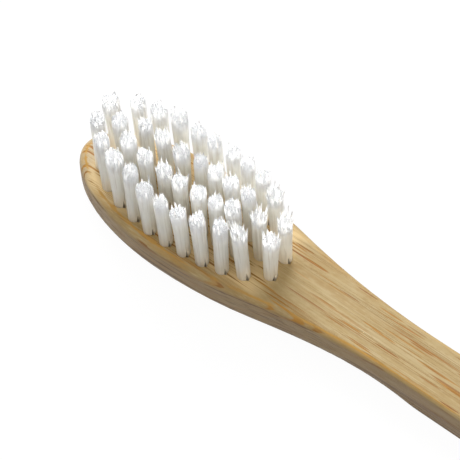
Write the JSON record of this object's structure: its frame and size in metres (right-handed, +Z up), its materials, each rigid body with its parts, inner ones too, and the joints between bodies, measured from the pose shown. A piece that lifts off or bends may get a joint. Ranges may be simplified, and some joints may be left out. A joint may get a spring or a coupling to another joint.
{
  "type": "manual toothbrush",
  "caption": "Manual toothbrush with a flat rounded bamboo handle and an oval head of white nylon bristle tufts staple-set in blind holes, trimmed in a gentle wave.",
  "frame": {"origin": "middle of the box of the brush on the plane of its flat back", "axes": "+X from the tip of the head to the butt of the handle, +Y across the brush, +Z up out of the bristle face"},
  "size_m": [0.19, 0.0136, 0.016],
  "materials": {
    "bamboo": "sanded bamboo with a thin oil finish, satin, fine straight grain along the handle",
    "nylon_bristle": "white translucent nylon filaments, satin",
    "anchor_metal": "flat drawn wire, cut to length, bare"
  },
  "bodies": {
    "root": {"bamboo_handle": "bamboo", "bristle_tuft_01a": "nylon_bristle", "bristle_tuft_01b": "nylon_bristle", "bristle_tuft_02a": "nylon_bristle", "bristle_tuft_02b": "nylon_bristle", "bristle_tuft_02c": "nylon_bristle", "bristle_tuft_03a": "nylon_bristle", "bristle_tuft_03b": "nylon_bristle", "bristle_tuft_03c": "nylon_bristle", "bristle_tuft_03d": "nylon_bristle", "bristle_tuft_04a": "nylon_bristle", "bristle_tuft_04b": "nylon_bristle", "bristle_tuft_04c": "nylon_bristle", "bristle_tuft_04d": "nylon_bristle", "bristle_tuft_05a": "nylon_bristle", "bristle_tuft_05b": "nylon_bristle", "bristle_tuft_05c": "nylon_bristle", "bristle_tuft_05d": "nylon_bristle", "bristle_tuft_06a": "nylon_bristle", "bristle_tuft_06b": "nylon_bristle", "bristle_tuft_06c": "nylon_bristle", "bristle_tuft_06d": "nylon_bristle", "bristle_tuft_07a": "nylon_bristle", "bristle_tuft_07b": "nylon_bristle", "bristle_tuft_07c": "nylon_bristle", "bristle_tuft_07d": "nylon_bristle", "bristle_tuft_08a": "nylon_bristle", "bristle_tuft_08b": "nylon_bristle", "bristle_tuft_08c": "nylon_bristle", "bristle_tuft_08d": "nylon_bristle", "bristle_tuft_09a": "nylon_bristle", "bristle_tuft_09b": "nylon_bristle", "bristle_tuft_09c": "nylon_bristle", "bristle_tuft_09d": "nylon_bristle", "bristle_tuft_10a": "nylon_bristle", "bristle_tuft_10b": "nylon_bristle", "bristle_tuft_10c": "nylon_bristle", "bristle_tuft_11a": "nylon_bristle", "bristle_tuft_11b": "nylon_bristle", "tuft_anchors": "anchor_metal"}
  },
  "joints": []
}
